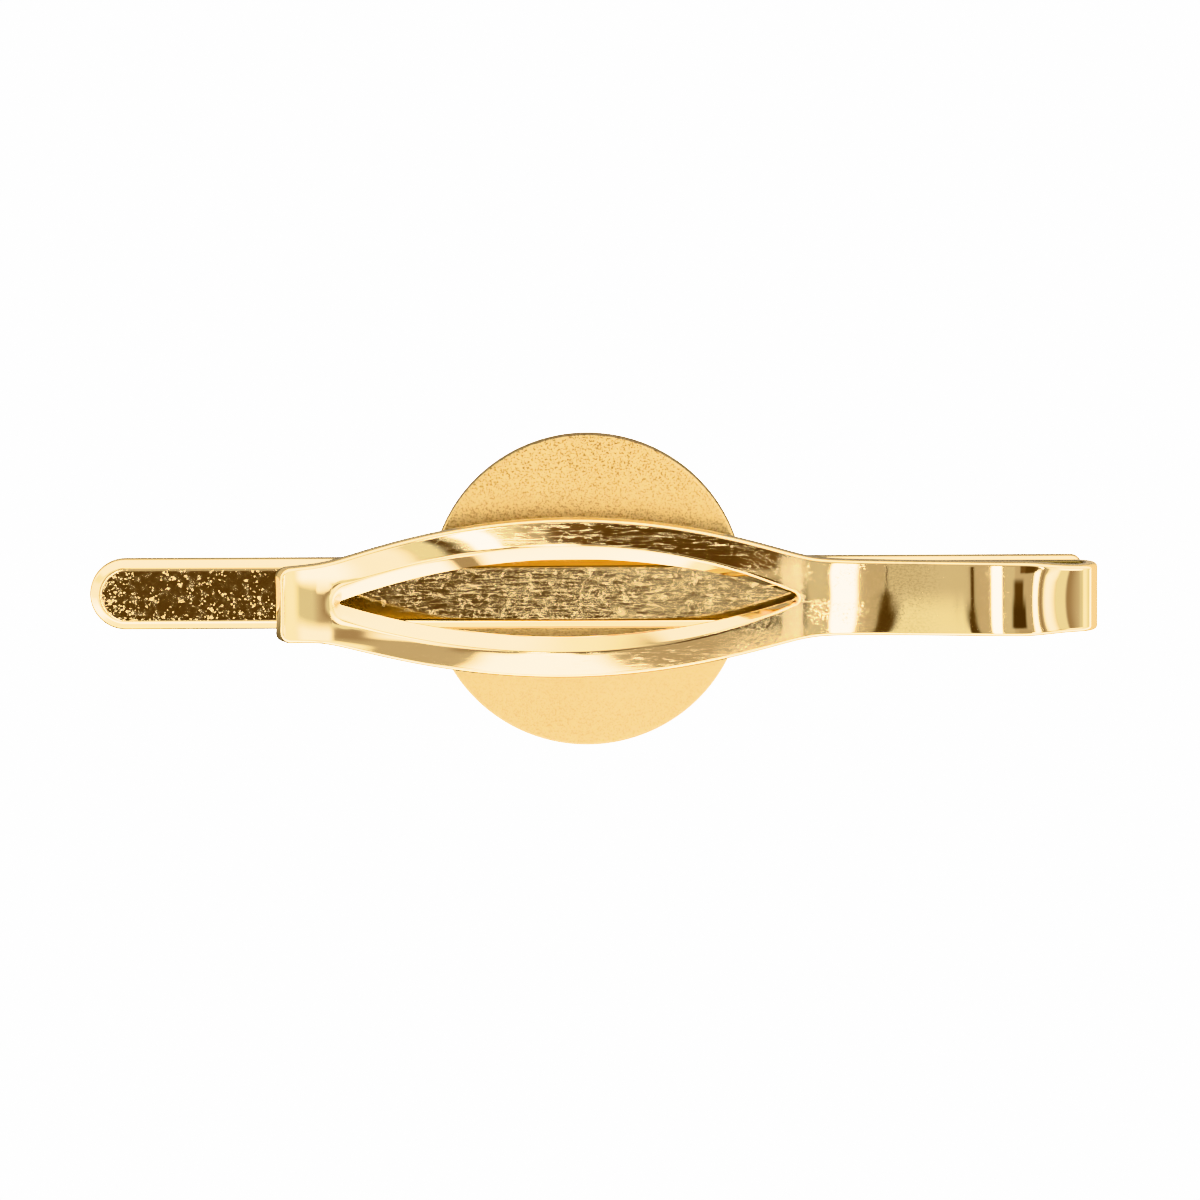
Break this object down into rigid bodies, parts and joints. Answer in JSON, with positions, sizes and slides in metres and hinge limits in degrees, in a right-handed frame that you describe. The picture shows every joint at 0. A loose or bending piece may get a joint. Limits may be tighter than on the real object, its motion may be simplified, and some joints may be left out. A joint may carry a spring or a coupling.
{
  "type": "tie clip",
  "caption": "Gold tie clip: a bevelled bar with a round disc on its front, and a folded spring arm with an almond-shaped eye and an upturned lip that grips the tie.",
  "frame": {"origin": "under the middle of the clip, on the surface that the front of its disc lies on", "axes": "+X along the bar towards the fold, +Y across the bar, +Z from the disc's front to the spring arm"},
  "size_m": [0.0544, 0.017, 0.0063],
  "materials": {
    "bar_gold": "bright gold plate, mottled by wear on its back",
    "satin_gold": "satin gold plate with a fine grain",
    "spring_gold": "polished gold plate with fine lengthwise scratches",
    "solder": "dull solder film"
  },
  "bodies": {
    "bar": {"front_bar": "bar_gold", "badge_disc": "satin_gold", "disc_solder": "solder", "foot_solder": "solder", "spring_foot": "spring_gold", "spring_bend": "spring_gold"},
    "clip_arm": {"spring_arm": "spring_gold"}
  },
  "joints": [
    {"name": "arm_flex", "type": "hinge", "parent": "bar", "child": "clip_arm", "pos_m": [0.02598, 0, 0.00354], "axis": [0, 1, 0], "range_deg": [-1.5, 6], "stiffness_Nm_per_rad": 1.4, "deforming": ["spring_bend"]}
  ]
}
